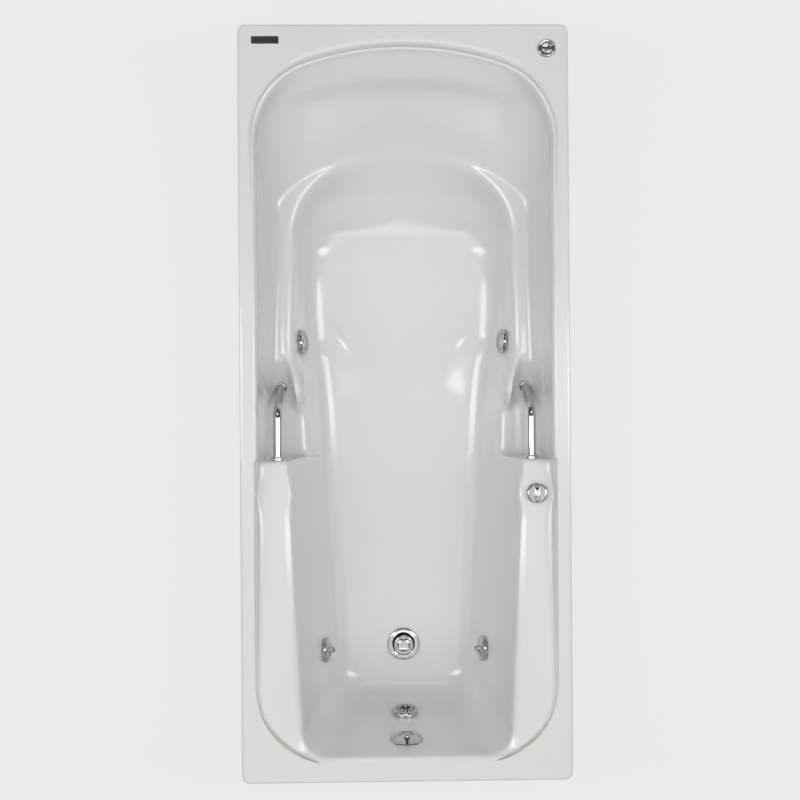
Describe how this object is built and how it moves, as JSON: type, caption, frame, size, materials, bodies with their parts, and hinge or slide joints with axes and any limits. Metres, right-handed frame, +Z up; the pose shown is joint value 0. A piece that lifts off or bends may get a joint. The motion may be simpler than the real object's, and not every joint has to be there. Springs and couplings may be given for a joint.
{
  "type": "jetted bathtub",
  "caption": "Drop-in acrylic bath with armrests, grab bars, wall jets, suction, pop-up waste, trip lever, air control and pump.",
  "frame": {"origin": "middle of the floor under the bath", "axes": "+Y towards the head end, +X towards the side with the air control, +Z up"},
  "size_m": [0.8, 1.829, 0.52],
  "materials": {
    "acrylic": "polished white acrylic",
    "chrome": "polished",
    "chromed_plastic": "chromed",
    "white_nozzle": "moulded, glossy",
    "white_pipe": "extruded, satin",
    "grey_fitting": "moulded",
    "black_plastic": "moulded",
    "seal": "matt",
    "brass": "machined",
    "steel": "zinc plated",
    "motor_paint": "satin enamel",
    "plywood": "unfinished",
    "foam": "rigid foam",
    "plate": "satin, blank"
  },
  "bodies": {
    "bath": {"air_button_bezel": "chromed_plastic", "air_button_body": "grey_fitting", "air_control_body": "grey_fitting", "air_control_gaskets": "seal", "air_pipe_cross": "white_pipe", "air_pipe_left": "white_pipe", "air_pipe_right": "white_pipe", "badge_plate": "plate", "base_board": "plywood", "base_runners": "plywood", "bath_shell": "acrylic", "board_screws": "steel", "control_nuts": "grey_fitting", "drain_flange": "chrome", "drain_gaskets": "seal", "drain_shoe": "white_pipe", "grab_bar_collars": "chrome", "grab_bar_left": "chrome", "grab_bar_nuts": "brass", "grab_bar_right": "chrome", "jet_bodies": "grey_fitting", "overflow_elbow": "white_pipe", "overflow_gasket": "seal", "overflow_pipe": "white_pipe", "overflow_plate": "chrome", "overflow_screws": "chrome", "pressure_pipe_left": "white_pipe", "pressure_pipe_right": "white_pipe", "pressure_tee": "white_pipe", "pump_bracket": "steel", "pump_fan_cover": "black_plastic", "pump_motor": "motor_paint", "pump_switch_box": "black_plastic", "pump_unions": "grey_fitting", "pump_volute": "black_plastic", "suction_body": "grey_fitting", "suction_cover": "chromed_plastic", "suction_pipe": "white_pipe", "suction_screw": "chrome", "support_blocks": "foam", "tail_pipe": "white_pipe", "wall_gaskets": "seal", "wall_rings": "chromed_plastic", "waste_pipe": "white_pipe", "waste_tee": "white_pipe"},
    "trip_lever": {"trip_lever": "chrome"},
    "link_rod": {"link_rod": "brass"},
    "rocker_arm": {"rocker_arm": "brass"},
    "drain_stopper": {"drain_stopper": "chrome"},
    "jet_trim_upper_left": {"jet_trim_upper_left": "chromed_plastic"},
    "jet_trim_upper_right": {"jet_trim_upper_right": "chromed_plastic"},
    "jet_trim_lower_left": {"jet_trim_lower_left": "chromed_plastic"},
    "jet_trim_lower_right": {"jet_trim_lower_right": "chromed_plastic"},
    "jet_rotor_upper_left": {"jet_rotor_upper_left": "white_nozzle"},
    "jet_rotor_upper_right": {"jet_rotor_upper_right": "white_nozzle"},
    "jet_nozzle_lower_left": {"jet_nozzle_lower_left": "chromed_plastic"},
    "jet_nozzle_lower_right": {"jet_nozzle_lower_right": "chromed_plastic"},
    "air_control_knob": {"air_control_knob": "chromed_plastic"},
    "air_button": {"air_button": "chromed_plastic"},
    "pump_impeller": {"pump_impeller": "steel"}
  },
  "joints": [
    {"name": "lever_turn", "type": "hinge", "parent": "bath", "child": "trip_lever", "pos_m": [0, -0.84885, 0.4154], "axis": [-1, 0, 0], "range_deg": [0, 18]},
    {"name": "rod_slide", "type": "slide", "parent": "bath", "child": "link_rod", "axis": [0, 0, 1], "range_m": [0, 0.01073]},
    {"name": "rocker_turn", "type": "hinge", "parent": "bath", "child": "rocker_arm", "pos_m": [0, -0.771, 0.0493], "axis": [-1, 0, 0], "range_deg": [0, 5.3]},
    {"name": "stopper_slide", "type": "slide", "parent": "bath", "child": "drain_stopper", "axis": [0, 0, -1], "range_m": [0, 0.01073]},
    {"name": "trim_upper_left_turn", "type": "hinge", "parent": "bath", "child": "jet_trim_upper_left", "pos_m": [-0.26409, 0.159, 0.265], "axis": [0.9692, 0.0532, 0.2407], "range_deg": [0, 90]},
    {"name": "rotor_upper_left_spin", "type": "hinge", "parent": "jet_trim_upper_left", "child": "jet_rotor_upper_left", "pos_m": [-0.26409, 0.159, 0.265], "axis": [0.9692, 0.0532, 0.2407], "continuous": true},
    {"name": "trim_upper_right_turn", "type": "hinge", "parent": "bath", "child": "jet_trim_upper_right", "pos_m": [0.26409, 0.159, 0.265], "axis": [-0.9692, 0.0532, 0.2407], "range_deg": [0, 90]},
    {"name": "rotor_upper_right_spin", "type": "hinge", "parent": "jet_trim_upper_right", "child": "jet_rotor_upper_right", "pos_m": [0.26409, 0.159, 0.265], "axis": [-0.9692, 0.0532, 0.2407], "continuous": true},
    {"name": "trim_lower_left_turn", "type": "hinge", "parent": "bath", "child": "jet_trim_lower_left", "pos_m": [-0.2076, -0.643, 0.26], "axis": [0.967, 0.0441, 0.2509], "range_deg": [0, 90]},
    {"name": "nozzle_lower_left_tilt", "type": "hinge", "parent": "jet_trim_lower_left", "child": "jet_nozzle_lower_left", "pos_m": [-0.20054, -0.64268, 0.26183], "axis": [-0.0341, 0.9984, -0.0441], "range_deg": [-15, 15]},
    {"name": "trim_lower_right_turn", "type": "hinge", "parent": "bath", "child": "jet_trim_lower_right", "pos_m": [0.2076, -0.643, 0.26], "axis": [-0.967, 0.0441, 0.2509], "range_deg": [0, 90]},
    {"name": "nozzle_lower_right_tilt", "type": "hinge", "parent": "jet_trim_lower_right", "child": "jet_nozzle_lower_right", "pos_m": [0.20054, -0.64268, 0.26183], "axis": [0.0341, 0.9984, -0.0441], "range_deg": [-15, 15]},
    {"name": "air_control_turn", "type": "hinge", "parent": "bath", "child": "air_control_knob", "pos_m": [0.322, -0.223, 0.46812], "axis": [-0.069, 0.0665, 0.9954], "range_deg": [0, 180]},
    {"name": "air_button_press", "type": "slide", "parent": "bath", "child": "air_button", "axis": [0, 0, -1], "range_m": [0, 0.003], "stiffness_N_per_m": 600, "springref_m": -0.002},
    {"name": "impeller_spin", "type": "hinge", "parent": "bath", "child": "pump_impeller", "pos_m": [0.055, 0.715, 0.146], "axis": [1, 0, 0], "continuous": true}
  ],
  "couplings": [
    {"joint": "rod_slide", "follows": "lever_turn", "m_per_rad": 0.03401},
    {"joint": "rocker_turn", "follows": "lever_turn", "ratio": 0.29319},
    {"joint": "stopper_slide", "follows": "lever_turn", "m_per_rad": 0.03401}
  ]
}
